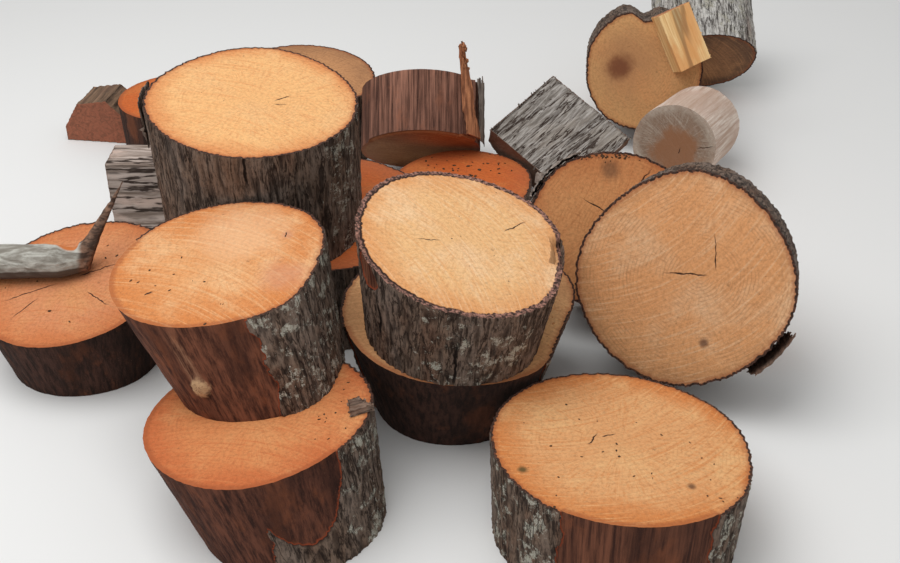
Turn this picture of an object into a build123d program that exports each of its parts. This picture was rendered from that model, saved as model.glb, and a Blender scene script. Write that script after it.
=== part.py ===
from build123d import *
import math
import numpy
import os
from scipy.optimize import linprog

# A heap of freshly sawn rounds cut from tree trunks, as left where the trees were felled.
# Three pairs are stacked, two big rounds lean back on edge, and smaller rounds,
# a bark slab, a weathered billet and a split wedge lie behind them.
# +X is to the right and +Y is away from the side that is usually seen. Millimetres.

# Contact between two logs that touch
clearance = 0.3
curve_samples = 90

# Flat sides that a round's or a limb's girth is made of
log_sides = 64
limb_sides = 16

# Upper and lower round of the stack at the back left
back_lower_at = (-470, -50)
back_lower_radius = 420
back_lower_length = 330
back_lower_foot = 405
back_lower_swell = (1, -1, 2, 0, -1, 1, -2, 1)
back_upper_at = (-625, -170)
back_upper_radius = 338
back_upper_length = 470
back_upper_foot = 325
back_upper_lean = (-8, 0)
back_upper_fall = 8
back_upper_fall_to = -61
back_upper_swell = (2, -1, 3, -2, 2, -1, -1, 0)

# Upper and lower round of the stack at the front left
front_lower_at = (-450, -1245)
front_lower_radius = 322
front_lower_length = 300
front_lower_foot = 268
front_lower_lean = (-82, 70)
front_lower_fall = 6.8
front_lower_fall_to = 162
front_lower_swell = (2, -1, 1, 0, 1, 0, 2, -1)
front_upper_at = (-545, -980)
front_upper_radius = 318
front_upper_length = 318
front_upper_foot = 250
front_upper_lean = (-80, 110)
front_upper_fall = 5.7
front_upper_fall_to = -92
front_upper_swell = (-3, 2, -1, 0, 1, 0, -3, 2)

# Upper and lower round of the stack in the middle
middle_lower_at = (20, -655)
middle_lower_radius = 350
middle_lower_length = 345
middle_lower_foot = 268
middle_lower_lean = (0, -45)
middle_lower_fall = 5
middle_lower_fall_to = -34
middle_lower_swell = (2, 26, 8, 1, -2, 1, 1, 4)
middle_upper_at = (25, -775)
middle_upper_radius = 316
middle_upper_length = 312
middle_upper_foot = 272
middle_upper_lean = (0, 0)
middle_upper_fall = 10.8
middle_upper_fall_to = -34
middle_upper_swell = (-3, 2, -1, 1, -1, 0, 0, 1)

# Low round at the left and upright round at the front right
left_at = (-1205, -440)
left_radius = 302
left_length = 280
left_foot = 250
left_lean = (-15, 0)
left_fall = 12
left_fall_to = -123
left_swell = (8, 12, 2, 0, 1, 0, 0, 5)
right_at = (490, -1300)
right_radius = 356
right_length = 290
right_foot = 344
right_fall = 5.6
right_fall_to = 54
right_swell = (-1, 0, -1, 0, 0, 1, -1, 1)

# Two big rounds that lean back on edge, with their sawn faces to the front
tilted_at = (900, -655)
tilted_radius = 332
tilted_length = 310
tilted_facing = -107.4
tilted_rise = 22.5
tilted_swell = (2, -2, 3, -2, 2, 0, 1, -1)
second_tilted_at = (536, -220)
second_tilted_radius = 276
second_tilted_length = 250
second_tilted_facing = -93
second_tilted_rise = 30
second_tilted_swell = (0, 2, -5, 0, 2, 0, 0, 1)

# Upright rounds in the second row
orange_at = (50, 450)
orange_radius = 276
orange_length = 200
orange_foot = 268
orange_swell = (-2, 0, 0, -3, 3, 2, 0, 1)
far_middle_at = (-620, 1090)
far_middle_radius = 300
far_middle_length = 340
far_middle_foot = 290
far_middle_fall = 6
far_middle_fall_to = -60
far_middle_swell = (2, 0, -2, 1, 2, 0, 1, -2)
far_left_at = (-1210, 1110)
far_left_radius = 257
far_left_length = 240
far_left_foot = 250
far_left_swell = (1, 0, -2, -3, 1, 3, 1, 0)

# Rounds that lie on edge or are tipped over, in the second row
tipped_at = (-120, 900)
tipped_radius = 255
tipped_length = 260
tipped_facing = -90
tipped_rise = -46
tipped_swell = (0, 2, 0, -2, 0, 1, 0, -1)
ringed_at = (870, 1103)
ringed_radius = 256
ringed_length = 400
ringed_facing = -97
ringed_rise = 15
ringed_swell = (1, 1, 2, 2, 2, 0, -15, 2, 4, 3, 1, -1, -4, -3, -2, -1, 0, 0, 1, 2, 2, 1, 0, 0)
small_at = (930, 500)
small_radius = 180
small_length = 440
small_facing = -115
small_rise = 12
small_swell = (0, -3, -4, -2, 0, 1, 0, 2)
far_right_at = (1250, 1886)
far_right_radius = 235
far_right_length = 420
far_right_facing = -90
far_right_rise = -35
far_right_swell = (0, 1, -2, 1, 0, 2, -1, 0)

# Slab split off the side of a log, with its bark on
slab_at = (440, 640)
slab_width = 420
slab_crown = 85
slab_upper_edge = 95
slab_lower_edge = 50
slab_length = 380
slab_turn = 42
slab_rise = 20
slab_roll = 25

# Weathered split billet
billet_at = (-985, 480)
billet_length = 640
billet_depth = 200
billet_height = 312
billet_bevel = 28

# Weathered chunk split off a bigger log, with its end grain towards (0, -1)
chunk_at = (-1640, 1145)
chunk_width = 280
chunk_height = 205
chunk_bevel = 70
chunk_length = 200
chunk_turn = -8

# Torn limb that lies on the low round at the left: places over the round's top
limb_start = (-384, 82)
limb_radius = 63
limb_end = (-22, 47)
limb_end_radius = 57
elbow_at = (45, 58)
elbow_radius = 47
splinter_foot = (95, 98, 105)
splinter_foot_radius = 23
splinter_tip = (218, 187, 250)
splinter_tip_radius = 4

# Piece of loose bark on the lower round at the front left: place over the round's top
loose_bark_at = (288, -22)
loose_bark_size = (70, 60)
loose_bark_corners = (80, 65)
loose_bark_thickness = 24
loose_bark_turn = 20

# Strip torn from the side of the tipped round, up beyond its sawn end
strip_angle = 40
strip_width = 85
strip_tip_width = 26
strip_slant = -45
strip_beyond = 105
strip_depth = 14
strip_proud = 16

# Split wedge that leans on the ringed round
wedge_at = (1080, 850)
wedge_width = 150
wedge_depth = 95
wedge_edge = 35
wedge_length = 255
wedge_lowered_by = 70
wedge_lean = 24
wedge_tilt = 20
wedge_turn = 12

# Direction in which the round at the front right was pushed, in degrees from +X
right_heading = 120


def outline(radius, swell):
    """Corners round a log, from the swell in percent at even steps round it."""
    step = 2 * math.pi / len(swell)
    reach = [radius * (1 + percent / 100) for percent in swell]
    girth = Edge.make_spline([Vector(r * math.cos(i * step), r * math.sin(i * step))
                              for i, r in enumerate(reach)], periodic=True)
    return [girth.position_at(i / log_sides) for i in range(log_sides)]


def cut_plane(seat, centre, height, fall, fall_to):
    """Plane of a saw cut over a seat, falling by some degrees towards a direction."""
    down, toward = math.radians(fall), math.radians(fall_to)
    across = math.sin(down)
    local = Vector(across * math.cos(toward), across * math.sin(toward), math.cos(down))
    normal = seat.from_local_coords(local) - seat.origin
    origin = seat.from_local_coords((centre[0], centre[1], height))
    return Plane(origin=origin, x_dir=seat.x_dir - normal * normal.dot(seat.x_dir), z_dir=normal)


def sawn_round(foot_plane, top_plane, foot, radius, swell):
    """A length of trunk between two saw cuts, with straight sides."""
    with BuildPart() as log:
        for plane, reach in ((foot_plane, foot), (top_plane, radius)):
            with BuildSketch(plane):
                with BuildLine():
                    Polyline(*outline(reach, swell), close=True)
                make_face()
        loft(ruled=True)
    return log.part


def standing_round(seat, at, radius, length, foot, swell, lean=(0, 0), fall=0, fall_to=0):
    """An upright round on a seat. Gives the round and the plane of its top."""
    spot = seat.to_local_coords(Vector(at[0], at[1], seat.origin.Z))
    foot_plane = cut_plane(seat, (spot.X, spot.Y), clearance if seat.origin.Z else 0, 0, 0)
    top_plane = cut_plane(foot_plane, lean, length, fall, fall_to)
    return sawn_round(foot_plane, top_plane, foot, radius, swell), top_plane


def face_plane(at, facing, rise):
    """Plane of a sawn face that looks towards facing and is tipped up by rise."""
    side, up = math.radians(facing), math.radians(rise)
    normal = Vector(math.cos(up) * math.cos(side), math.cos(up) * math.sin(side), math.sin(up))
    return Plane(origin=(at[0], at[1], 0), x_dir=Vector(0, 0, 1).cross(normal), z_dir=normal)


def edge_round(at, radius, length, facing, rise, swell):
    """A round on edge or tipped over, by the way that one of its sawn faces looks."""
    face = face_plane(at, facing, rise)
    return on_floor(sawn_round(face.offset(-length), face, radius, radius, swell))


def on_floor(piece):
    """The piece let down until its lowest point is on the floor."""
    return piece.moved(Location((0, 0, -piece.bounding_box().min.Z)))


def rim_points(piece):
    """The corners of a piece, and points close together on its curved edges."""
    return numpy.array([
        tuple(edge.position_at(i / count)) for edge in piece.edges()
        for count in [1 if edge.geom_type == GeomType.LINE else curve_samples]
        for i in range(count + 1)])


def free_travel(points, others, way):
    """How far the points can go along way before their hull is a clearance from the other's.

    At first contact a weighted mean of the points, moved by the travel, is a weighted mean
    of the others. The least such travel is a linear programme, whose dual is the direction
    in which the two press on each other.
    """
    count, rest = len(points), len(others)
    meet = numpy.hstack([points.T, -others.T, way.reshape(3, 1)])
    weights = numpy.zeros((2, count + rest + 1))
    weights[0, :count] = 1
    weights[1, count:-1] = 1
    cost = numpy.zeros(count + rest + 1)
    cost[-1] = 1
    found = linprog(cost, A_eq=numpy.vstack([meet, weights]), b_eq=[0, 0, 0, 1, 1],
                    bounds=[(0, None)] * (count + rest) + [(None, None)])
    if not found.success:
        return math.inf
    return found.x[-1] - clearance * numpy.linalg.norm(found.eqlin.marginals[:3])


def heading(degrees):
    """Level direction at some degrees from +X towards +Y."""
    return Vector(math.cos(math.radians(degrees)), math.sin(math.radians(degrees)), 0)


def push(pieces, way, others):
    """Pushes pieces along way until one of them touches one of the others."""
    there = [rim_points(other) for other in others]
    travel = min(free_travel(rim_points(piece), points, numpy.array(tuple(way)))
                 for piece in pieces for points in there)
    return [piece.moved(Location(way * travel)) for piece in pieces]


toward_right, toward_back = Vector(1, 0, 0), Vector(0, 1, 0)
toward_left, toward_front = -toward_right, -toward_back
downward = Vector(0, 0, -1)


floor = Plane.XY

# Stack at the back left, which everything else is pushed against
back_lower, back_lower_top = standing_round(
    floor, back_lower_at, back_lower_radius, back_lower_length, back_lower_foot,
    back_lower_swell)
back_upper, _ = standing_round(
    back_lower_top, back_upper_at, back_upper_radius, back_upper_length, back_upper_foot,
    back_upper_swell, back_upper_lean, back_upper_fall, back_upper_fall_to)
laid = [back_lower, back_upper]

# Stack at the front left
front_lower, front_lower_top = standing_round(
    floor, front_lower_at, front_lower_radius, front_lower_length, front_lower_foot,
    front_lower_swell, front_lower_lean, front_lower_fall, front_lower_fall_to)
front_upper, _ = standing_round(
    front_lower_top, front_upper_at, front_upper_radius, front_upper_length,
    front_upper_foot, front_upper_swell, front_upper_lean, front_upper_fall,
    front_upper_fall_to)
with BuildPart() as loose_bark:
    with BuildSketch(front_lower_top.offset(clearance)):
        with Locations(loose_bark_at):
            with Locations(Rotation(0, 0, loose_bark_turn)):
                Trapezoid(*loose_bark_size, *loose_bark_corners)
    extrude(amount=loose_bark_thickness)
front_lower, front_upper, loose_bark = push(
    [front_lower, front_upper, loose_bark.part], toward_back, laid)
laid += [front_lower, front_upper, loose_bark]

# Stack in the middle
middle_lower, middle_lower_top = standing_round(
    floor, middle_lower_at, middle_lower_radius, middle_lower_length, middle_lower_foot,
    middle_lower_swell, middle_lower_lean, middle_lower_fall, middle_lower_fall_to)
middle_upper, _ = standing_round(
    middle_lower_top, middle_upper_at, middle_upper_radius, middle_upper_length,
    middle_upper_foot, middle_upper_swell, middle_upper_lean, middle_upper_fall,
    middle_upper_fall_to)
middle_lower, middle_upper = push([middle_lower, middle_upper], toward_left, laid)
laid += [middle_lower, middle_upper]

# Low round at the left, with the torn limb on it
left, left_top = standing_round(
    floor, left_at, left_radius, left_length, left_foot, left_swell, left_lean, left_fall,
    left_fall_to)
route = [Vector(*limb_start, limb_radius), Vector(*limb_end, limb_end_radius),
         Vector(*elbow_at, elbow_radius), Vector(splinter_foot), Vector(splinter_tip)]
reaches = [limb_radius, limb_end_radius, elbow_radius, splinter_foot_radius,
           splinter_tip_radius]
limb_seat = left_top.offset(clearance)
spots = [limb_seat.from_local_coords(point) for point in route]
runs = [(end - start).normalized() for start, end in zip(spots, spots[1:])]
with BuildPart() as limb:
    for spot, reach, before, after in zip(spots, reaches, runs[:1] + runs, runs + runs[-1:]):
        with BuildSketch(Plane(origin=spot, x_dir=left_top.z_dir, z_dir=before + after)):
            RegularPolygon(reach, limb_sides)
    loft(ruled=True)
left_there, = push([left], toward_right, laid)
limb = limb.part.moved(Location(left_there.center() - left.center()))
left = left_there
laid += [left, limb]

with BuildPart() as billet:
    with BuildSketch(Plane.YZ):
        with BuildLine():
            Polyline((-billet_depth / 2, 0), (billet_depth / 2, 0),
                     (billet_depth / 2, billet_height - billet_bevel),
                     (billet_depth / 2 - billet_bevel, billet_height),
                     (-billet_depth / 2, billet_height), close=True)
        make_face()
    extrude(amount=billet_length / 2, both=True)
billet, = push([billet.part.moved(Location((*billet_at, 0)))], toward_front, laid)
laid += [billet]

# Front right: an upright round, and two on edge behind it
right, _ = standing_round(
    floor, right_at, right_radius, right_length, right_foot, right_swell, (0, 0),
    right_fall, right_fall_to)
right, = push([right], heading(right_heading), laid)
laid += [right]
tilted = edge_round(tilted_at, tilted_radius, tilted_length, tilted_facing, tilted_rise,
                    tilted_swell)
tilted, = push([tilted], toward_left, laid)
laid += [tilted]
second = edge_round(second_tilted_at, second_tilted_radius, second_tilted_length,
                    second_tilted_facing, second_tilted_rise, second_tilted_swell)
second, = push([second], toward_front, laid)
laid += [second]

orange, _ = standing_round(floor, orange_at, orange_radius, orange_length, orange_foot,
                           orange_swell)
orange, = push([orange], toward_front, laid)
laid += [orange]

# Tipped round, with the strip torn from its side
tipped_face = face_plane(tipped_at, tipped_facing, tipped_rise)
with BuildPart() as tipped:
    add(sawn_round(tipped_face.offset(-tipped_length), tipped_face, tipped_radius,
                   tipped_radius, tipped_swell))
    turn = math.radians(strip_angle)
    out = tipped_face.x_dir * math.cos(turn) + tipped_face.y_dir * math.sin(turn)
    strip_seat = tipped_face.origin + out * (tipped_radius - strip_depth)
    with BuildSketch(Plane(origin=strip_seat, x_dir=tipped_face.z_dir.cross(out), z_dir=out)):
        with BuildLine():
            top = tipped_length + strip_beyond
            Polyline((-strip_width / 2, 0), (strip_width / 2, 0),
                     (strip_slant + strip_tip_width / 2, -top),
                     (strip_slant - strip_tip_width / 2, -top + strip_tip_width), close=True)
        make_face()
    extrude(amount=strip_depth + strip_proud)
tipped, = push([on_floor(tipped.part)], toward_front, laid)
laid += [tipped]

# Group at the back right, pushed together first
ringed = edge_round(ringed_at, ringed_radius, ringed_length, ringed_facing, ringed_rise,
                    ringed_swell)
small = edge_round(small_at, small_radius, small_length, small_facing, small_rise,
                   small_swell)
small, = push([small], toward_back, [ringed])

# The wedge leans on the rim of the ringed round, and stands on the small one
with BuildPart() as wedge:
    with BuildSketch(Plane.XY):
        with BuildLine():
            Polyline((-wedge_width / 2, 0), (wedge_width / 2, 0),
                     (wedge_width / 2, wedge_edge), (-wedge_width / 2, wedge_depth), close=True)
        make_face()
    extrude(amount=wedge_length)
stand = Rotation(0, 0, wedge_turn) * Rotation(-wedge_lean, 0, 0) * Rotation(0, -wedge_tilt, 0)
wedge = wedge.part.moved(stand).moved(Location((*wedge_at, 2 * small_radius + wedge_lowered_by)))
wedge, = push([wedge], downward, [small])
wedge, = push([wedge], toward_back, [ringed])

far_right = edge_round(far_right_at, far_right_radius, far_right_length, far_right_facing,
                       far_right_rise, far_right_swell)
far_right, = push([far_right], toward_front, [ringed])

axis_turn, axis_rise = math.radians(slab_turn), math.radians(slab_rise)
slab_axis = Vector(math.cos(axis_turn) * math.cos(axis_rise),
                   math.sin(axis_turn) * math.cos(axis_rise), math.sin(axis_rise))
slab_across = Vector(0, 0, 1).cross(slab_axis).rotate(Axis((0, 0, 0), slab_axis), slab_roll)
with BuildPart() as slab:
    half = slab_width / 2
    with BuildSketch(Plane(origin=(*slab_at, 0), x_dir=-slab_across, z_dir=slab_axis)):
        with BuildLine():
            Polyline((half, slab_lower_edge), (half, 0), (-half, 0), (-half, slab_upper_edge))
            ThreePointArc((-half, slab_upper_edge),
                          (0, (slab_lower_edge + slab_upper_edge) / 2 + slab_crown),
                          (half, slab_lower_edge))
        make_face()
    extrude(amount=slab_length / 2, both=True)
slab, = push([on_floor(slab.part).moved(Location((0, 0, slab_length)))], downward, laid)
laid += [slab]
group = [ringed, wedge, small, far_right]
ringed, wedge, small, far_right = group = push(group, toward_left, laid)
laid += group

# Far left, against the tipped round
far_middle, _ = standing_round(
    floor, far_middle_at, far_middle_radius, far_middle_length, far_middle_foot,
    far_middle_swell, (0, 0), far_middle_fall, far_middle_fall_to)
far_middle, = push([far_middle], toward_right, laid)
laid += [far_middle]
far_left, _ = standing_round(floor, far_left_at, far_left_radius, far_left_length,
                             far_left_foot, far_left_swell)
far_left, = push([far_left], toward_right, laid)
laid += [far_left]
with BuildPart() as chunk:
    with BuildSketch(Plane.XZ):
        with BuildLine():
            Polyline((-chunk_width / 2, 0), (chunk_width / 2, 0),
                     (chunk_width / 2, chunk_height - chunk_bevel),
                     (chunk_width / 2 - chunk_bevel, chunk_height),
                     (-chunk_width / 2 + chunk_bevel, chunk_height - chunk_bevel / 3),
                     (-chunk_width / 2, chunk_height / 3), close=True)
        make_face()
    extrude(amount=-chunk_length)
chunk = chunk.part.moved(Rotation(0, 0, chunk_turn)).moved(Location((*chunk_at, 0)))
chunk, = push([chunk], toward_right, laid)

parts = {
    "back_lower_round": back_lower,
    "back_upper_round": back_upper,
    "front_lower_round": front_lower,
    "front_upper_round": front_upper,
    "middle_lower_round": middle_lower,
    "middle_upper_round": middle_upper,
    "left_round": left,
    "right_round": right,
    "tilted_round": tilted,
    "second_tilted_round": second,
    "orange_round": orange,
    "tipped_round": tipped,
    "far_middle_round": far_middle,
    "far_left_round": far_left,
    "weathered_billet": billet,
    "ringed_round": ringed,
    "small_round": small,
    "split_wedge": wedge,
    "far_right_round": far_right,
    "bark_slab": slab,
    "torn_limb": limb,
    "loose_bark": loose_bark,
    "split_chunk": chunk,
}

boxes = [piece.bounding_box() for piece in parts.values()]
middle_x = (min(box.min.X for box in boxes) + max(box.max.X for box in boxes)) / 2
middle_y = (min(box.min.Y for box in boxes) + max(box.max.Y for box in boxes)) / 2
middle = Location((-middle_x, -middle_y, 0))
os.makedirs("parts", exist_ok=True)
for name, piece in parts.items():
    piece = piece.moved(middle)
    piece.label = name
    export_step(piece, f"parts/{name}.step")
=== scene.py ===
import math

import bpy
import numpy
from bpy.props import FloatProperty, FloatVectorProperty, PointerProperty
from bpy.types import Operator, Panel, PropertyGroup
from mathutils import Matrix, Vector, noise


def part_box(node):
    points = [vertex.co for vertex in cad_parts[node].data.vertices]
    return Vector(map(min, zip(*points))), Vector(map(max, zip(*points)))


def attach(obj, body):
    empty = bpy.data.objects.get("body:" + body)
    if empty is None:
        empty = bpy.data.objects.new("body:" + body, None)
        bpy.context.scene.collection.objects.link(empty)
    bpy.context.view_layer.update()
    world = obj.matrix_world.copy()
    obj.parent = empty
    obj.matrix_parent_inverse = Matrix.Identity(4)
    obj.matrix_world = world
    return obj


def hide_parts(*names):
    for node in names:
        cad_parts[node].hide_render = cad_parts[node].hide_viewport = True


bl_info = {
    "name": "Heap of Logs",
    "version": (1, 0, 0),
    "blender": (4, 5, 0),
    "location": "3D View > Sidebar > Log Heap",
    "description": "Bark, sawn faces and split wood for a heap of freshly cut rounds",
    "category": "Object",
}

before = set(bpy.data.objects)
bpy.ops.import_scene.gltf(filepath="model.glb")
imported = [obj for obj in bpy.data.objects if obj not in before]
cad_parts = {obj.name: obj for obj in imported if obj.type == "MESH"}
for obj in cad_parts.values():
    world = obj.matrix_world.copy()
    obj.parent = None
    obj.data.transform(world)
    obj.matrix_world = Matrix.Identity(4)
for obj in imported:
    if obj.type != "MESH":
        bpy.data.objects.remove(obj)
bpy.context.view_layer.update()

# The camera: degrees below level, lens in mm, and place from the back upper round's corner
VIEW_DOWN = 33.0
VIEW_LENS = 48.0
VIEW_FROM = (0.97693, -3.19388, 2.4)
TOWARD_VIEW = Vector((0, -0.84, 0.54))

# Cells round and along a log's side, and in a sheet; factors that draw in the cut's rings
CELL_ROUND = 0.0050
CELL_ALONG = 0.0095
SHEET_CELL = (0.004, 0.006)
CUT_RINGS = (0.97, 0.95, 0.93, 0.9, 0.86, 0.8, 0.72, 0.6, 0.4, 0.3)

# Relief: stretch along the grain, and depths in metres
SIDE_STRETCH = 5.0
SPLIT_STRETCH = 6.0
BARE_RELIEF = 0.004
SPLIT_ROUGH = 0.0012
DEEPEST = 0.03
RAGGED_EDGE = 0.005
RIM_MARGIN = 0.014


class HeapSettings(PropertyGroup):
    bark_thickness: FloatProperty(
        name="Bark thickness", description="How far bare wood lies inside the bark",
        default=0.011, min=0.0, unit="LENGTH")
    furrow_depth: FloatProperty(
        name="Furrow depth", description="Depth of the furrows in the bark",
        default=0.009, min=0.0, unit="LENGTH")
    furrow_width: FloatProperty(
        name="Furrow width", description="Distance from one furrow to the next",
        default=0.019, min=0.001, unit="LENGTH")
    ring_width: FloatProperty(
        name="Ring width", description="Distance from one growth ring to the next",
        default=0.011, min=0.001, unit="LENGTH")
    # The dark bark colour is also painted deep in the side's furrows as shade
    bark_dark: FloatVectorProperty(
        name="Bark in the furrows", description="Colour deep in the bark",
        subtype="COLOR", default=(0.026, 0.015, 0.011))
    bark_light: FloatVectorProperty(
        name="Bark on the ridges", description="Colour of the weathered ridges",
        subtype="COLOR", default=(0.21, 0.14, 0.10))
    bark_grey: FloatVectorProperty(
        name="Weathered bark", description="Colour where the bark has gone grey",
        subtype="COLOR", default=(0.26, 0.205, 0.17))
    lichen: FloatVectorProperty(
        name="Lichen", description="Colour of the lichen blotches",
        subtype="COLOR", default=(0.56, 0.54, 0.47))
    bare_dark: FloatVectorProperty(
        name="Bare wood, dark", description="Dark streaks where the bark is gone",
        subtype="COLOR", default=(0.055, 0.018, 0.011))
    bare_light: FloatVectorProperty(
        name="Bare wood, light", description="Light streaks where the bark is gone",
        subtype="COLOR", default=(0.27, 0.105, 0.055))


class StageSettings(PropertyGroup):
    floor: FloatVectorProperty(
        name="Floor", description="Colour of the studio floor", subtype="COLOR",
        default=(0.8, 0.8, 0.79))
    light: FloatProperty(
        name="Light", description="Power of the large soft lamp", default=210.0, min=0.0,
        unit="POWER")
    fill: FloatProperty(
        name="Fill", description="Strength of the even light from all round", default=0.55,
        min=0.0)


# Shader building

class Tree:
    """A material's nodes, added one by one and linked as they are added."""

    def __init__(self, name):
        self.material = bpy.data.materials.new(name)
        self.material.use_nodes = True
        self.nodes = self.material.node_tree.nodes
        self.nodes.clear()

    def add(self, kind, inputs=(), out=0, **settings):
        node = self.nodes.new(kind)
        for key, value in settings.items():
            setattr(node, key, value)
        for slot, value in dict(inputs).items():
            if isinstance(value, bpy.types.NodeSocket):
                self.material.node_tree.links.new(value, node.inputs[slot])
            else:
                node.inputs[slot].default_value = value
        return node.outputs[out] if node.outputs else node

    def math(self, operation, a, b=0.0):
        return self.add("ShaderNodeMath", {0: a, 1: b}, operation=operation)

    def plus(self, a, b):
        return self.math("ADD", a, b)

    def times(self, a, b):
        return self.math("MULTIPLY", a, b)

    def vector(self, operation, a, b=(0, 0, 0)):
        out = 1 if operation in ("LENGTH", "DISTANCE") else 0
        return self.add("ShaderNodeVectorMath", {0: a, 1: b}, out=out, operation=operation)

    def attribute(self, name, out="Vector"):
        return self.add("ShaderNodeAttribute", out=out, attribute_name=name)

    def split(self, vector):
        node = self.nodes.new("ShaderNodeSeparateXYZ")
        self.material.node_tree.links.new(vector, node.inputs[0])
        return node.outputs

    def join(self, x, y, z=0.0):
        return self.add("ShaderNodeCombineXYZ", {0: x, 1: y, 2: z})

    def noise(self, vector, scale, detail=4.0, rough=0.55, distortion=0.0):
        return self.add("ShaderNodeTexNoise", {
            "Vector": vector, "Scale": scale, "Detail": detail, "Roughness": rough,
            "Distortion": distortion})

    def mapped(self, vector, scale=(1, 1, 1), turn=0.0, shift=(0, 0, 0)):
        return self.add("ShaderNodeMapping", {
            "Vector": vector, "Location": shift, "Rotation": (0, 0, turn), "Scale": scale})

    def along_grain(self, place, share):
        """Coordinates whose patterns are drawn out along the grain."""
        return self.mapped(place, (1, 1, share))

    def band(self, value, low, high):
        """0 at low and 1 at high, with a smooth rise between them."""
        return self.add("ShaderNodeMapRange", {
            "Value": value, "From Min": low, "From Max": high},
            interpolation_type="SMOOTHSTEP")

    def mix(self, factor, a, b):
        colours = {6: a, 7: b}
        return self.add("ShaderNodeMix", {0: factor, **{
            i: c if isinstance(c, bpy.types.NodeSocket) else (*c, 1)
            for i, c in colours.items()}}, out=2, data_type="RGBA")

    def paint(self, colour, over, value, low, high, amount=1.0):
        """Lays a second colour over the first where a value nears high."""
        return self.mix(self.times(self.band(value, low, high), amount), colour, over)

    def swing(self, pattern, width):
        """A pattern about 0.5 turned into an offset about zero."""
        return self.times(self.math("SUBTRACT", pattern, 0.5), width)

    def near_half(self, pattern):
        """Nought along the lines where a pattern passes its middle value."""
        return self.math("ABSOLUTE", self.math("SUBTRACT", pattern, 0.5))

    def slit(self, others, across, ends, width, sharp):
        """One more crack: a line where across nears zero, faded at its ends."""
        line = self.band(self.math("ABSOLUTE", across), width, width * sharp)
        return self.math("MAXIMUM", others, self.times(ends, line))

    def finish(self, colour, roughness, height, distance, strength, specular):
        normal = self.add("ShaderNodeBump", {
            "Height": height, "Distance": distance, "Strength": strength})
        surface = self.add("ShaderNodeBsdfPrincipled", {
            "Base Color": colour, "Roughness": roughness, "Normal": normal,
            "Specular IOR Level": specular})
        self.add("ShaderNodeOutputMaterial", {"Surface": surface})
        return self.material


# Colours of marks on a cut
SCORCH = (0.1, 0.03, 0.01)
FLECK = (0.11, 0.04, 0.02)
DIRT = (0.09, 0.05, 0.025)
CRACK = (0.035, 0.015, 0.01)
RED_RIM = (0.30, 0.075, 0.025)
CUT_BARK = (0.12, 0.05, 0.032)
BARK_GAP = (0.03, 0.014, 0.01)


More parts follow.
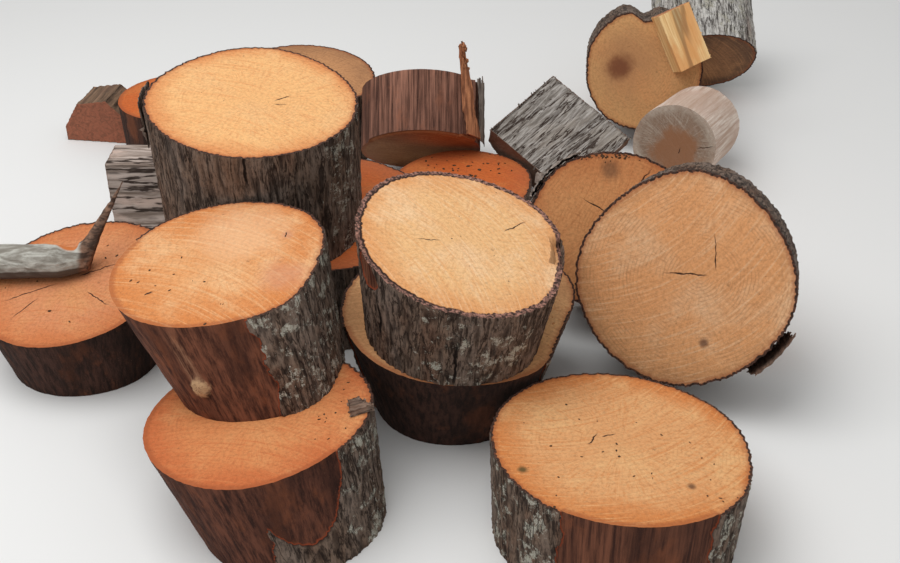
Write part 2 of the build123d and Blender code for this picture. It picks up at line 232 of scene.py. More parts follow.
def sawn_wood(name, settings, look):
    """A saw cut across a trunk, in the log's own coordinates."""
    rim, middle, pale = look["cut"]
    pith = look.get("pith", (0, 0))
    tree = Tree(name)
    place = tree.mapped(tree.attribute("place"), shift=(-pith[0], -pith[1], 0))
    has_bark, _, inward = tree.split(tree.attribute("zone"))
    flat = tree.vector("MULTIPLY", place, (1, 1, 0))
    x, y, _ = tree.split(flat)
    reach = tree.vector("LENGTH", flat)
    angle = tree.math("ARCTAN2", y, x)
    way_x, way_y = tree.math("COSINE", angle), tree.math("SINE", angle)
    broad = tree.noise(flat, 5.0)
    fine = tree.noise(flat, 90.0, 5.0, 0.7)
    rays = tree.noise(tree.join(way_x, way_y, tree.times(reach, 0.8)), 26.0, 4.0, 0.65)
    fibres = tree.noise(tree.join(way_x, way_y, tree.times(reach, 2.5)), 85.0, 4.0, 0.7)
    flecks = tree.noise(tree.mapped(flat, (1, 2.2, 1), look["saw"]), 48.0, 3.0, 0.5)

    wobble = tree.plus(reach, tree.times(broad, 0.03))
    ring = tree.math("SINE", tree.times(wobble, 2 * math.pi / settings.ring_width))
    ring = tree.times(ring, tree.band(tree.noise(flat, 11.0), 0.35, 0.65))
    across, up, _ = tree.split(tree.mapped(flat, turn=look["saw"]))
    arc = tree.plus(up, tree.times(tree.times(across, across), 0.9))
    saw = tree.noise(tree.join(tree.times(across, 4.0), tree.times(arc, 110.0)),
                     1.0, 5.0, 0.65)

    colour = tree.paint(rim, middle, tree.plus(inward, tree.times(broad, 0.12)),
                        0.055, look.get("pale_from", 0.2))
    colour = tree.paint(colour, pale, broad, 0.46, 0.72, 0.75)
    colour = tree.paint(colour, tree.mix(0.35, rim, (0.12, 0.03, 0.01)), ring, 0.1, 1.0,
                        look.get("rings", 0.2))
    # Painted light on the saw marks: a painted highlight on the raised saw ridges and painted
    # shade in the grooves, matching the saw bump
    colour = tree.paint(colour, pale, saw, 0.5, 0.68, look.get("saw_highlight", 0.55))
    colour = tree.paint(colour, rim, saw, 0.48, 0.34, 0.5)
    colour = tree.paint(colour, rim, rays, 0.46, 0.7, 0.5)
    colour = tree.paint(colour, tree.mix(0.25, rim, SCORCH), fibres, 0.52, 0.7, 0.4)
    colour = tree.paint(colour, pale, fibres, 0.45, 0.28, 0.45)
    colour = tree.paint(tree.mix(0.3, colour, SCORCH), colour, fine, 0.28, 0.6)
    soft = look.get("soft", 0.6)
    for spot_x, spot_y, spot_reach, stain, amount in look.get("stains", ()):
        away = tree.plus(tree.vector("DISTANCE", flat, (spot_x, spot_y, 0)),
                         tree.swing(tree.noise(flat, 14.0, 5.0, 0.65), spot_reach * 1.6))
        colour = tree.paint(colour, stain, away, spot_reach * (1 + soft),
                            spot_reach * (1 - soft), amount)
    colour = tree.paint(colour, FLECK, flecks, 0.70, 0.77, 0.75)
    colour = tree.paint(colour, DIRT, tree.noise(flat, 16.0, 6.0, 0.7), 0.62, 0.72, 0.35)

    slit = 0.0
    for crack_x, crack_y, turn, length, width in look.get("cracks", ()):
        along, aside, _ = tree.split(tree.add("ShaderNodeMapping", {
            "Vector": flat, "Location": (crack_x, crack_y, 0),
            "Rotation": (0, 0, math.radians(turn))}, vector_type="TEXTURE"))
        bend = tree.swing(tree.noise(flat, 30.0, 3.0), 0.018)
        ends = tree.times(tree.band(along, 0, 0.2 * length),
                          tree.band(along, length, 0.6 * length))
        slit = tree.slit(slit, tree.plus(aside, bend), ends, width, 0.3)
    if look.get("cracks"):
        colour = tree.mix(slit, colour, CRACK)

    colour = tree.paint(colour, RED_RIM, tree.plus(inward, tree.times(fine, 0.01)),
                        0.028, 0.012, look.get("edge", 0.55))
    in_bark = tree.math("LESS_THAN", tree.plus(inward, tree.times(fine, 0.008)),
                        look.get("rind", settings.bark_thickness))
    cut_bark = tree.paint(settings.bark_dark, look.get("rim_bark", CUT_BARK), fine, 0.4, 0.65)
    colour = tree.mix(tree.times(has_bark, in_bark), colour, cut_bark)
    if "rim_bark" in look:
        gap = tree.times(tree.band(inward, 0.021, 0.017), tree.band(inward, 0.011, 0.014))
        colour = tree.paint(colour, BARK_GAP, x, 0.1, -0.15, gap)
    height = tree.plus(tree.times(saw, 0.9), tree.plus(
        tree.times(fibres, 0.4), tree.times(fine, 0.6)))
    height = tree.math("SUBTRACT", height, tree.times(slit, 1.5))
    return tree.finish(colour, 0.75, height, 0.0022, 0.6, 0.2)


# Colours of marks on a side
DARK_RIDGE = (0.055, 0.044, 0.038)
BROWN_BARK = ((0.028, 0.013, 0.009), (0.17, 0.08, 0.05))
OLD_LICHEN = (0.30, 0.28, 0.22)
FURROW_LINE = (0.018, 0.011, 0.008)
ORANGE_STAIN = ((0.16, 0.04, 0.015), (0.5, 0.15, 0.05))
DUST = (0.3, 0.15, 0.09)
TORN_EDGE = (0.24, 0.05, 0.02)
KNOT = (0.50, 0.31, 0.17)
KNOT_DARK = (0.2, 0.1, 0.055)
KNOT_TRAIL = (0.34, 0.20, 0.12)
SPLIT_BARK = (0.012, 0.007, 0.005)


def trunk_bark(tree, settings, look, place, depth, lichen, fine, streak):
    """Furrowed bark that is grey, brown or grown over with lichen in places."""
    coarse = tree.noise(tree.along_grain(place, 0.35), 8.0, 5.0, 0.6)
    flakes = tree.noise(tree.along_grain(place, 0.55), 75.0, 5.0, 0.75)
    # ridge falls to nought deep in the furrows, so the dark bark colours there are painted
    # shade as well as the bark's own dark streaks
    ridge = tree.times(
        tree.band(tree.plus(tree.times(streak, 0.6), tree.times(flakes, 0.4)), 0.36, 0.58),
        tree.band(depth, look.get("furrow_shade_depth", 1.15), 0.55))
    grey = look.get("grey_bark", settings.bark_grey)
    bark = tree.mix(ridge, settings.bark_dark, look.get("light_bark", settings.bark_light))
    bark = tree.paint(bark, tree.mix(ridge, DARK_RIDGE, grey), coarse, 0.40, 0.62,
                      look.get("grey", 0.6))
    bark = tree.paint(bark, tree.mix(ridge, *BROWN_BARK), coarse, 0.46, 0.34, 0.5)
    spots = tree.times(tree.band(tree.noise(place, 19.0, 9.0, 0.78), 0.535, 0.57),
                       tree.band(lichen, 0.02, 0.5))
    bark = tree.paint(bark, tree.paint(OLD_LICHEN, settings.lichen, fine, 0.35, 0.7),
                      tree.plus(ridge, fine), 0.25, 0.8, spots)
    wave = tree.noise(tree.along_grain(place, 0.14), 26.0, 5.0, 0.6, 0.3)
    return tree.paint(bark, FURROW_LINE, tree.near_half(wave), 0.03, 0.008, 0.8)


def trunk_side(name, settings, look):
    """Bark, lichen and bare wood on the side of a log."""
    dark, light = look.get("bare", (settings.bare_dark, settings.bare_light))
    tree = Tree(name)
    place = tree.attribute("place")
    has_bark, lichen, _ = tree.split(tree.attribute("zone"))
    depth = tree.attribute("furrow", "Fac")
    fine = tree.noise(place, 230.0, 4.0, 0.65)
    streak = tree.noise(tree.along_grain(place, 0.17), 120.0, 8.0, 0.7, 0.6)
    bark = trunk_bark(tree, settings, look, place, depth, lichen, fine, streak)

    grain = tree.noise(tree.along_grain(place, 0.035), 75.0, 7.0, 0.7)
    bare = tree.paint(dark, light, grain, 0.34, 0.66)
    bare = tree.paint(bare, tree.mix(0.45, light, tree.mix(grain, *ORANGE_STAIN)), tree.noise(
        tree.along_grain(place, 0.5), 9.0, 6.0, 0.65), 0.52, 0.64, 0.6)
    bare = tree.paint(bare, dark, tree.noise(tree.along_grain(place, 0.3), 7.0, 4.0),
                      0.42, 0.66, 0.65)
    bare = tree.paint(bare, DUST, fine, 0.6, 0.75, 0.3)
    kept = tree.band(tree.plus(has_bark, tree.swing(fine, 0.5)), 0.42, 0.58)
    bare = tree.paint(bare, TORN_EDGE, has_bark, 0.02, 0.35,
                      tree.math("SUBTRACT", 1.0, kept))
    colour = tree.mix(kept, bare, bark)

    for turn, rise, knot_reach in look.get("knots", ()):
        x, y, z = tree.split(tree.mapped(place, turn=-math.radians(turn)))
        behind = tree.math("MAXIMUM", tree.times(x, -1.0), 0.0)
        away = tree.vector("LENGTH", tree.join(
            y, tree.math("SUBTRACT", z, rise), tree.times(behind, 9.0)))
        away = tree.plus(away, tree.swing(tree.noise(place, 60.0, 4.0, 0.7), 0.03))
        trail = tree.times(
            tree.band(tree.math("ABSOLUTE", y), knot_reach * 0.8, knot_reach * 0.2),
            tree.times(tree.band(z, rise, rise + 0.03), tree.band(z, rise + 0.2, rise + 0.1)))
        trail = tree.times(trail, tree.band(x, 0.0, 0.1))
        colour = tree.paint(colour, KNOT_TRAIL, grain, 0.4, 0.8, trail)
        colour = tree.paint(colour, KNOT, away, knot_reach, knot_reach * 0.6)
        colour = tree.paint(colour, KNOT_DARK, away, knot_reach, 0.0,
                            tree.band(fine, 0.5, 0.6))
    slit = 0.0
    for turn, middle, half, width in look.get("slits", ()):
        x, y, z = tree.split(tree.mapped(place, turn=-math.radians(turn)))
        bend = tree.swing(tree.noise(place, 16.0, 3.0), 0.03)
        from_middle = tree.math("ABSOLUTE", tree.math("SUBTRACT", z, middle))
        ends = tree.times(tree.math("GREATER_THAN", x, 0.0),
                          tree.band(from_middle, half, half * 0.5))
        slit = tree.slit(slit, tree.plus(y, bend), ends, width, 0.4)
    if look.get("slits"):
        colour = tree.mix(slit, colour, SPLIT_BARK)
    height = tree.plus(tree.times(streak, tree.plus(0.2, kept)), tree.times(fine, 0.25))
    height = tree.math("SUBTRACT", height, tree.times(slit, 2.0))
    return tree.finish(colour, 0.88, height, 0.006, 0.85, 0.15)


# Painted shade for the deepest grooves of the relief
DEEP_FURROW_SHADE = (0.03, 0.02, 0.015)
FISSURE = (0.05, 0.035, 0.028)


def split_wood(name, look):
    """Wood or bark split or broken along the grain, which runs along the local Z axis."""
    dark, light, patch = look["colours"]
    deep = look.get("deep", 0.75)
    tree = Tree(name)
    place = tree.attribute("place")
    depth = tree.attribute("furrow", "Fac")
    at_end, facing, along = tree.split(tree.attribute("zone"))
    grain = tree.noise(tree.along_grain(place, look.get("stretch", 0.05)),
                       look.get("grain", 60.0), 6.0, 0.62, look.get("curl", 0.2))
    coarse = tree.noise(tree.along_grain(place, 0.3), 10.0, 5.0, 0.6)
    fine = tree.noise(place, 200.0, 4.0, 0.6)
    colour = tree.paint(dark, light, grain, 0.36, 0.66)
    colour = tree.paint(colour, patch, coarse, 0.48, 0.62, look.get("patchy", 0.6))
    colour = tree.paint(colour, dark, fine, 0.55, 0.75, 0.35)
    # Painted shade: darker where the relief is pressed in deepest
    colour = tree.paint(colour, DEEP_FURROW_SHADE, depth, deep, deep + 0.3)
    if "fissures" in look:
        wave = tree.noise(tree.along_grain(place, 0.1), look["fissures"], 5.0, 0.6, 0.3)
        colour = tree.paint(colour, FISSURE, tree.near_half(wave), 0.035, 0.012,
                            tree.math("SUBTRACT", look.get("cleft", 1.0), at_end))
    if "end" in look:
        rings = tree.noise(tree.vector("MULTIPLY", place, (1, 1, 0)), 45.0, 4.0, 0.6, 1.5)
        cut = tree.paint(look["end"], tree.mix(0.5, look["end"], dark), rings, 0.35, 0.7)
        colour = tree.mix(at_end, colour, cut)
    # Underside colour: the bark slab's own inner colour, and on the torn limb a painted shade
    # over its downward faces
    if "underside_colour_and_shade" in look:
        start = look["under_from"]
        colour = tree.paint(colour, look["underside_colour_and_shade"], facing, start + 0.2, start - 0.1, 0.85)
    for rise, spot_reach, side, spot_colour in look.get("spots", ()):
        away = tree.vector("DISTANCE", place, (-side, 0.05, rise))
        colour = tree.paint(colour, spot_colour, away, spot_reach + 0.015, spot_reach)
    if "tip" in look:
        start, tip_dark, tip_light = look["tip"]
        colour = tree.paint(colour, tree.paint(tip_dark, tip_light, grain, 0.4, 0.65),
                            tree.plus(along, tree.times(coarse, 0.03)), start, start + 0.02)
    height = tree.plus(grain, tree.times(fine, 0.3))
    return tree.finish(colour, 0.85, height, 0.004, 0.7, 0.15)


# Mesh helpers

def read(items, name, width=1, kind=float):
    """The values of a mesh collection as one array, a row for each item."""
    values = numpy.empty(len(items) * width, dtype=kind)
    items.foreach_get(name, values)
    return values.reshape(-1, width) if width > 1 else values


def points_of(piece):
    return read(piece.data.vertices, "co", 3)


def normals_of(piece):
    return read(piece.data.vertex_normals, "vector", 3)


def set_points(piece, spots):
    piece.data.vertices.foreach_set("co", spots.ravel())
    piece.data.update()


def set_looks(piece, place, zone, furrow):
    """The three attributes that the materials read."""
    for name, kind, field, values in (("place", "FLOAT_VECTOR", "vector", place),
                                      ("zone", "FLOAT_VECTOR", "vector", zone),
                                      ("furrow", "FLOAT", "value", furrow)):
        attribute = piece.data.attributes.new(name, kind, "POINT")
        attribute.data.foreach_set(field, numpy.asarray(values, dtype=float).ravel())


def only(piece):
    bpy.ops.object.select_all(action="DESELECT")
    piece.select_set(True)
    bpy.context.view_layer.objects.active = piece


def select_edges(piece, chosen):
    only(piece)
    bpy.ops.object.mode_set(mode="EDIT")
    bpy.ops.mesh.select_mode(type="EDGE")
    bpy.ops.mesh.select_all(action="DESELECT")
    bpy.ops.object.mode_set(mode="OBJECT")
    piece.data.edges.foreach_set("select", chosen)


def edit_all(piece, operator, **settings):
    """Runs one edit-mode operator on the whole of a piece."""
    only(piece)
    bpy.ops.object.mode_set(mode="EDIT")
    bpy.ops.mesh.select_all(action="SELECT")
    operator(**settings)
    bpy.ops.object.mode_set(mode="OBJECT")


def modify(piece, kind, **settings):
    only(piece)
    modifier = piece.modifiers.new(kind.lower(), kind)
    for name, value in settings.items():
        setattr(modifier, name, value)
    bpy.ops.object.modifier_apply(modifier=modifier.name)


def press_in(piece, depth, texture, holder, group=""):
    """Moves the vertices of a group, or all of them, inwards by up to depth."""
    modify(piece, "DISPLACE", vertex_group=group, strength=depth,
           mid_level=1.0 if texture else 2.0,
           texture=texture, texture_coords="OBJECT", texture_coords_object=holder)


def grain_space(origin, axes, stretch):
    """An empty whose local space lies along the grain and is stretched along it."""
    holder = bpy.data.objects.new("grain", None)
    bpy.context.scene.collection.objects.link(holder)
    turn = Matrix([[*row] for row in axes]).transposed().to_4x4()
    holder.matrix_world = Matrix.Translation(origin) @ turn @ \
        Matrix.Diagonal((1, 1, stretch, 1))
    bpy.context.view_layer.update()
    return holder


def outward(angles):
    """Unit vectors away from a log's axis, in the log's own coordinates."""
    return numpy.stack([numpy.cos(angles), numpy.sin(angles), numpy.zeros(len(angles))], 1)


def smooth_noise(points, scale, seed):
    shift = Vector((seed * 7.3, seed * 3.1, seed * 5.7))
    return numpy.array([noise.noise(Vector(p) * scale + shift) for p in points])


def add_group(piece, name, weights):
    group = piece.vertex_groups.new(name=name)
    for index in numpy.nonzero(weights > 0.001)[0]:
        group.add([int(index)], float(weights[index]), "REPLACE")


def finish_piece(piece, materials, nodes=(), angle=60):
    for material in materials:
        piece.data.materials.append(material)
    only(piece)
    bpy.ops.object.shade_smooth_by_angle(angle=math.radians(angle))
    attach(piece, "root")
    if nodes:
        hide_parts(*nodes)


def relief_textures(settings):
    """The relief textures, made at the first call."""
    if "furrows" not in bpy.data.textures:
        furrows = bpy.data.textures.new("furrows", "MUSGRAVE")
        furrows.musgrave_type = "RIDGED_MULTIFRACTAL"
        furrows.noise_scale = settings.furrow_width
        furrows.octaves = 3
        furrows.noise_intensity = 0.5
        lumps = bpy.data.textures.new("lumps", "CLOUDS")
        lumps.noise_scale = 0.16
        lumps.noise_depth = 2
        fibres = bpy.data.textures.new("fibres", "CLOUDS")
        fibres.noise_scale = 0.02
        fibres.noise_depth = 3
    return bpy.data.textures


# Reading a log from its solid

class Log:
    """Axis, centres and rims of a round, read from the two saw cuts of its solid."""

    def __init__(self, node):
        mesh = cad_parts[node].data
        mesh.calc_loop_triangles()
        spots = read(mesh.vertices, "co", 3)
        corners = read(mesh.loop_triangles, "vertices", 3, int)
        a, b, c = (spots[corners[:, i]] for i in range(3))
        cross = numpy.cross(b - a, c - a)
        size = numpy.linalg.norm(cross, axis=1)
        real = size > 1e-9
        cross, size, a, b, c = (v[real] for v in (cross, size, a, b, c))
        normals = cross / size[:, None]
        cuts = []
        for pick in numpy.argsort(-size)[:60]:
            with_it = (normals @ normals[pick] > 0.99999) & (
                abs((a - a[pick]) @ normals[pick]) < 0.0004)
            area = size[with_it].sum()
            centre = ((a + b + c)[with_it] * size[with_it, None]).sum(0) / (3 * area)
            if all(numpy.linalg.norm(centre - other[1]) > 0.02 for other in cuts):
                rim = numpy.unique(numpy.vstack([v[with_it] for v in (a, b, c)]).round(6),
                                   axis=0)
                cuts.append((area, centre, normals[pick], rim))
        cuts.sort(key=lambda cut: -cut[0])
        cuts = sorted(cuts[:2], key=lambda cut: Vector(cut[2]).dot(TOWARD_VIEW))
        self.centres = [cut[1] for cut in cuts]
        self.normals = [cut[2] for cut in cuts]
        axis = Vector(self.centres[1] - self.centres[0])
        self.length = axis.length
        axis.normalize()
        side = (Vector((1, 0, 0)) - axis * axis.x).normalized()
        self.axes = numpy.array([side, axis.cross(side), axis])
        self.rims = []
        for centre, cut in zip(self.centres, cuts):
            across = (cut[3] - centre) @ self.axes.T
            angles = numpy.arctan2(across[:, 1], across[:, 0])
            order = numpy.argsort(angles)
            self.rims.append((angles[order], cut[3][order]))
        self.radius = float(numpy.linalg.norm(self.rims[1][1] - self.centres[1],
                                              axis=1).mean())

    def rim(self, end, angles):
        known, points = self.rims[end]
        return numpy.stack([numpy.interp(angles, known, points[:, i], period=2 * math.pi)
                            for i in range(3)], axis=1)

    def side(self, angles, along):
        foot, top = self.rim(0, angles), self.rim(1, angles)
        return foot + (top - foot) * along[:, None]

    def local(self, points):
        return (points - self.centres[0]) @ self.axes.T

    def moved(self, points, angles, step):
        """Points moved away from the axis by a step each."""
        return points + (outward(angles) * step[:, None]) @ self.axes

    def onto_cut(self, points, end):
        """Points slid along the axis onto a saw cut."""
        slip = ((points - self.centres[end]) @ self.normals[end]) / (
            self.axes[2] @ self.normals[end])
        return points - slip[:, None] * self.axes[2]


def bark_cover(log, spots, ranges, seed, ragged=0.02, peels=()):
    """1 where there is bark, from ranges of angle in degrees, with ragged edges."""
    place = log.local(spots)
    angles = numpy.degrees(numpy.arctan2(place[:, 1], place[:, 0]))
    radius = numpy.hypot(place[:, 0], place[:, 1])
    wander = smooth_noise(place * (0.3, 0.3, 1), 14, seed) * ragged * 1.6
    wander += smooth_noise(place, 55, seed + 1) * ragged * 0.6
    cover = numpy.full(len(spots), -1.0)
    for start, end in ranges:
        middle, half = (start + end) / 2, (end - start) / 2
        away = abs((angles - middle + 180) % 360 - 180)
        inside = numpy.radians(half - away) * radius + wander
        if half >= 180:
            inside[:] = 1
        cover = numpy.maximum(cover, inside)
    for turn, along, half_turn, half_along in peels:
        aside = ((angles - turn + 180) % 360 - 180) / half_turn
        above = (place[:, 2] / log.length - along) / half_along
        outside = (numpy.hypot(aside, above) - 1) * half_along * log.length
        cover = numpy.minimum(cover, outside + wander * 0.5)
    return numpy.clip(cover / RAGGED_EDGE + 0.5, 0, 1)


# Wood colours
ORANGE = (0.62, 0.215, 0.06)
WARM = (0.72, 0.34, 0.135)
YELLOW = (0.80, 0.48, 0.22)
RED = (0.55, 0.145, 0.045)
PINK = (0.66, 0.27, 0.125)
TAN = (0.56, 0.275, 0.12)
BROWN = (0.33, 0.16, 0.075)
FIERY = (0.58, 0.125, 0.025)
GREY = (0.46, 0.40, 0.33)
ALL_ROUND = ((-180, 180),)
DARK_SIDE = ((0.018, 0.010, 0.008), (0.075, 0.034, 0.024))
RED_SIDE = ((0.042, 0.016, 0.011), (0.20, 0.075, 0.042))

# Looks of the rounds: where there is bark and lichen (degrees round the log, 0 to the right,
# -90 towards the usual view or down; bark all round unless it says so), colours of the cut
# from rim to middle, and marks on the cut and on the side
ROUNDS = {
    "back_upper_round": dict(
        lichen=((-35, 30),), saw=0.4, pale_from=0.16,
        cut=((0.66, 0.26, 0.09), (0.82, 0.46, 0.19), YELLOW),
        cracks=((0.07, 0.0, 40, 0.07, 0.003), (0.07, -0.02, 10, 0.05, 0.002)),
        slits=((-87, 0.40, 0.09, 0.006),), saw_highlight=0.3),
    "back_lower_round": dict(
        cut=((0.46, 0.12, 0.04), FIERY, ORANGE), saw=0.1, saw_highlight=0.4),
    "front_upper_round": dict(
        bark=((-73, 150),), lichen=((-72, 60),), cut=(ORANGE, WARM, (0.82, 0.52, 0.27)),
        saw=0.6, bare=RED_SIDE, knots=((-118, 0.06, 0.034),), pale_from=0.26,
        cracks=((0.19, 0.07, 70, 0.03, 0.003), (-0.2, -0.11, 30, 0.03, 0.004)),
        stains=((0.2, 0.08, 0.015, (0.50, 0.20, 0.11), 0.6),
                (0.18, -0.1, 0.06, (0.55, 0.24, 0.15), 0.45),
                (0.07, 0.12, 0.12, (0.86, 0.60, 0.38), 0.3))),
    "front_lower_round": dict(
        bark=((-88, 150),), peels=((-66, 0.8, 26, 0.76),), lichen=((-38, 40),),
        cut=(RED, (0.66, 0.25, 0.09), WARM), saw=0.3,
        bare=((0.03, 0.012, 0.009), (0.15, 0.055, 0.033)), saw_highlight=0.25),
    "middle_upper_round": dict(
        lichen=((-110, -50),), cut=((0.70, 0.32, 0.12), YELLOW, (0.86, 0.60, 0.36)),
        saw=0.9, peels=((-152, 0.92, 12, 0.17),), rim_bark=(0.40, 0.20, 0.15), rind=0.021,
        chips=((7, 13, 0.03, 0.035), (-163, 5, 0.012, 0.02)),
        slits=((-91, 0.09, 0.1, 0.005), (-140, 0.16, 0.1, 0.004)),
        cracks=((0.12, 0.07, 45, 0.11, 0.0025), (-0.06, -0.02, 190, 0.08, 0.002))),
    "middle_lower_round": dict(
        bark=((-45, 200),), lichen=((-40, 20),), cut=(TAN, (0.68, 0.36, 0.16), YELLOW),
        saw=0.2, bare=DARK_SIDE),
    "left_round": dict(
        bark=((20, 150),), cut=((0.58, 0.18, 0.06), PINK, WARM), saw=0.2, bare=DARK_SIDE,
        saw_highlight=0.35,
        cracks=((-0.05, 0.0, 200, 0.2, 0.003), (0.0, 0.02, 20, 0.16, 0.003),
                (-0.1, -0.06, 230, 0.12, 0.0025), (0.05, -0.05, -40, 0.14, 0.0025))),
    "right_round": dict(
        bark=((-54, 180), (180, 238)), lichen=((-54, 40), (190, 238)),
        cut=(ORANGE, (0.72, 0.37, 0.16), YELLOW), saw=2.7, bare=RED_SIDE,
        cracks=((-0.09, -0.01, 60, 0.07, 0.003), (-0.05, 0.03, 20, 0.05, 0.0025)),
        stains=((0.16, -0.17, 0.012, (0.1, 0.04, 0.02), 0.8),
                (-0.27, -0.13, 0.012, (0.08, 0.06, 0.02), 0.9))),
    "tilted_round": dict(
        cut=(TAN, (0.74, 0.35, 0.145), (0.82, 0.53, 0.31)), saw=2.5, rings=0.45,
        pith=(0.045, 0.01), saw_highlight=0.7, pale_from=0.12,
        cracks=((0.03, 0.01, 180, 0.15, 0.003), (0.05, 0.02, 95, 0.13, 0.0018)),
        stains=((0.02, -0.2, 0.012, (0.12, 0.05, 0.03), 0.8),)),
    "second_tilted_round": dict(
        cut=((0.54, 0.20, 0.07), (0.72, 0.33, 0.13), WARM), saw=2.2, saw_highlight=0.5, rings=0.3,
        cracks=((0.05, 0.1, 50, 0.15, 0.003), (0.0, 0.05, 150, 0.12, 0.0025)),
        stains=((0.0, 0.2, 0.03, (0.1, 0.05, 0.03), 0.6),)),
    "orange_round": dict(
        bark=((-60, 60),), cut=((0.46, 0.11, 0.035), FIERY, ORANGE), saw=0.5, saw_highlight=0.4,
        bare=RED_SIDE),
    "far_middle_round": dict(
        lichen=((0, 90),), cut=(BROWN, TAN, TAN), saw=0.5, cell=1.5),
    "far_left_round": dict(
        bark=(), cut=(FIERY, FIERY, ORANGE), saw=0.5, cell=1.4, bare=DARK_SIDE),
    "tipped_round": dict(
        bark=(), cut=((0.3, 0.12, 0.05), (0.42, 0.18, 0.075), TAN), saw=0.5, cell=1.1,
        bare=((0.05, 0.022, 0.016), (0.36, 0.17, 0.115)), chips=((90, 60, 0.008, 0.02),)),
    "ringed_round": dict(
        cut=((0.66, 0.36, 0.15), (0.56, 0.30, 0.13), WARM), saw=0.9, rings=0.6, cell=1.3,
        pith=(-0.03, 0.02),
        stains=((-0.05, 0.02, 0.12, (0.42, 0.20, 0.09), 0.5),
                (-0.07, 0.005, 0.05, (0.16, 0.048, 0.022), 0.85))),
    "small_round": dict(
        bark=(), cut=(GREY, (0.25, 0.17, 0.12), (0.32, 0.25, 0.19)), saw=0.9,
        cell=1.1, bare=((0.48, 0.33, 0.25), (0.80, 0.70, 0.61)), pale_from=0.1, edge=0.1,
        stains=((0.01, -0.02, 0.095, (0.27, 0.12, 0.055), 0.85),), soft=0.3,
        cracks=((0.02, -0.03, 80, 0.03, 0.003), (0.09, 0.0, 10, 0.08, 0.002))),
    "far_right_round": dict(
        lichen=ALL_ROUND, cut=((0.12, 0.065, 0.04), BROWN, TAN), saw=0.9, cell=1.3,
        furrow_shade_depth=1.5, grey=1.0, light_bark=(0.56, 0.53, 0.49), grey_bark=(0.68, 0.66, 0.62)),
}

# Looks of the split and broken pieces: way of the grain, side with the deep relief, colours
SPLITS = {
    "bark_slab": dict(
        grain_way=(0.698, 0.629, 0.342), top=(0.05, -0.52, 0.85), voxel=0.0045, relief=0.012,
        rough=0.003, fissures=34.0,
        colours=((0.17, 0.15, 0.13), (0.44, 0.41, 0.38), (0.30, 0.26, 0.22)),
        stretch=0.12, grain=110.0, underside_colour_and_shade=(0.15, 0.075, 0.045), deep=0.8, under_from=0.45),
    "weathered_billet": dict(
        grain_way=(1, 0, 0), top=(0, -1, 0), voxel=0.006, relief=0.008, rough=0.004,
        colours=((0.20, 0.15, 0.12), (0.52, 0.43, 0.38), (0.60, 0.45, 0.38)),
        grain=38.0, curl=1.2, end=(0.36, 0.25, 0.19), patchy=0.8, deep=0.8, fissures=14.0),
    "split_wedge": dict(
        grain_way=(-0.414, 0.303, 0.859), top=(0, -1, 0.3), voxel=0.0038, relief=0.002,
        rough=0.002, colours=((0.70, 0.40, 0.16), (0.90, 0.64, 0.32), (0.74, 0.34, 0.12)),
        grain=60.0, curl=0.8, deep=3.0, end=(0.4, 0.14, 0.07), patchy=0.7, fissures=2.5,
        cleft=0.45),
    "split_chunk": dict(
        grain_way=(0.139, 0.990, 0), top=(0, 0, 1), voxel=0.0055, relief=0.007, rough=0.003,
        colours=((0.07, 0.045, 0.03), (0.26, 0.16, 0.10), (0.16, 0.09, 0.06)),
        grain=45.0, end=(0.34, 0.12, 0.07)),
    "torn_limb": dict(
        grain_way=(1, 0, 0), top=(0, 0, 1), voxel=0.004, relief=0.004, rough=0.003,
        colours=((0.22, 0.20, 0.17), (0.50, 0.49, 0.44), (0.36, 0.34, 0.29)),
        # The limb's near-black underside colour is painted shade
        stretch=0.3, grain=42.0, curl=0.8, underside_colour_and_shade=(0.05, 0.035, 0.028), under_from=-0.1,
        tip=(0.15, (0.07, 0.045, 0.034), (0.26, 0.15, 0.10)), deep=0.9,
        spots=((0.105, 0.04, 0.02, (0.55, 0.17, 0.05)),)),
    "loose_bark": dict(
        grain_way=(1, 0.3, 0), top=(0, 0, 1), voxel=0.0022, relief=0.005, rough=0.002,
        colours=((0.08, 0.05, 0.038), (0.30, 0.22, 0.17), (0.20, 0.11, 0.07)),
        stretch=0.4, grain=80.0, deep=0.8),
}

# Sheets of bark and torn wood on the side of a round: angles, places along it as a share of
# its length, how far they stand off at their two ends, thickness and slant in degrees
SHEETS = {
    "torn_strip": dict(
        log="tipped_round", angles=(30, 49), along=(-0.42, 0.985), lift=(0.016, 0.012),
        thick=0.012, slant=12, taper=0.35, ragged=0.10, relief=0.004,
        colours=((0.16, 0.06, 0.03), (0.50, 0.21, 0.10), (0.34, 0.12, 0.055))),
    "grey_strip": dict(
        log="tipped_round", angles=(6, 25), along=(-0.05, 0.985), lift=(0.010, 0.008),
        thick=0.010, slant=4, taper=0.8, ragged=0.08, relief=0.007,
        colours=((0.09, 0.07, 0.06), (0.32, 0.27, 0.23), (0.18, 0.12, 0.09))),
    "tilted_flap": dict(
        log="second_tilted_round", angles=(112, 158), along=(0.45, 1.03), lift=(0.010, 0.016),
        thick=0.016, slant=0, taper=1.0, ragged=0.10, relief=0.009,
        colours=((0.16, 0.13, 0.11), (0.44, 0.37, 0.32), (0.30, 0.23, 0.19))),
    "tilted_sliver": dict(
        log="tilted_round", angles=(-52, -24), along=(0.55, 1.03), lift=(0.010, 0.030),
        thick=0.009, slant=-6, taper=1.0, ragged=0.12, relief=0.005,
        colours=((0.06, 0.04, 0.03), (0.22, 0.14, 0.10), (0.13, 0.06, 0.04))),
    "upper_lip": dict(
        log="back_upper_round", angles=(168, 192), along=(0.72, 1.012), lift=(0.006, 0.013),
        thick=0.009, slant=0, taper=1.0, ragged=0.06, relief=0.006,
        colours=((0.07, 0.05, 0.04), (0.27, 0.20, 0.16), (0.15, 0.09, 0.06))),
}

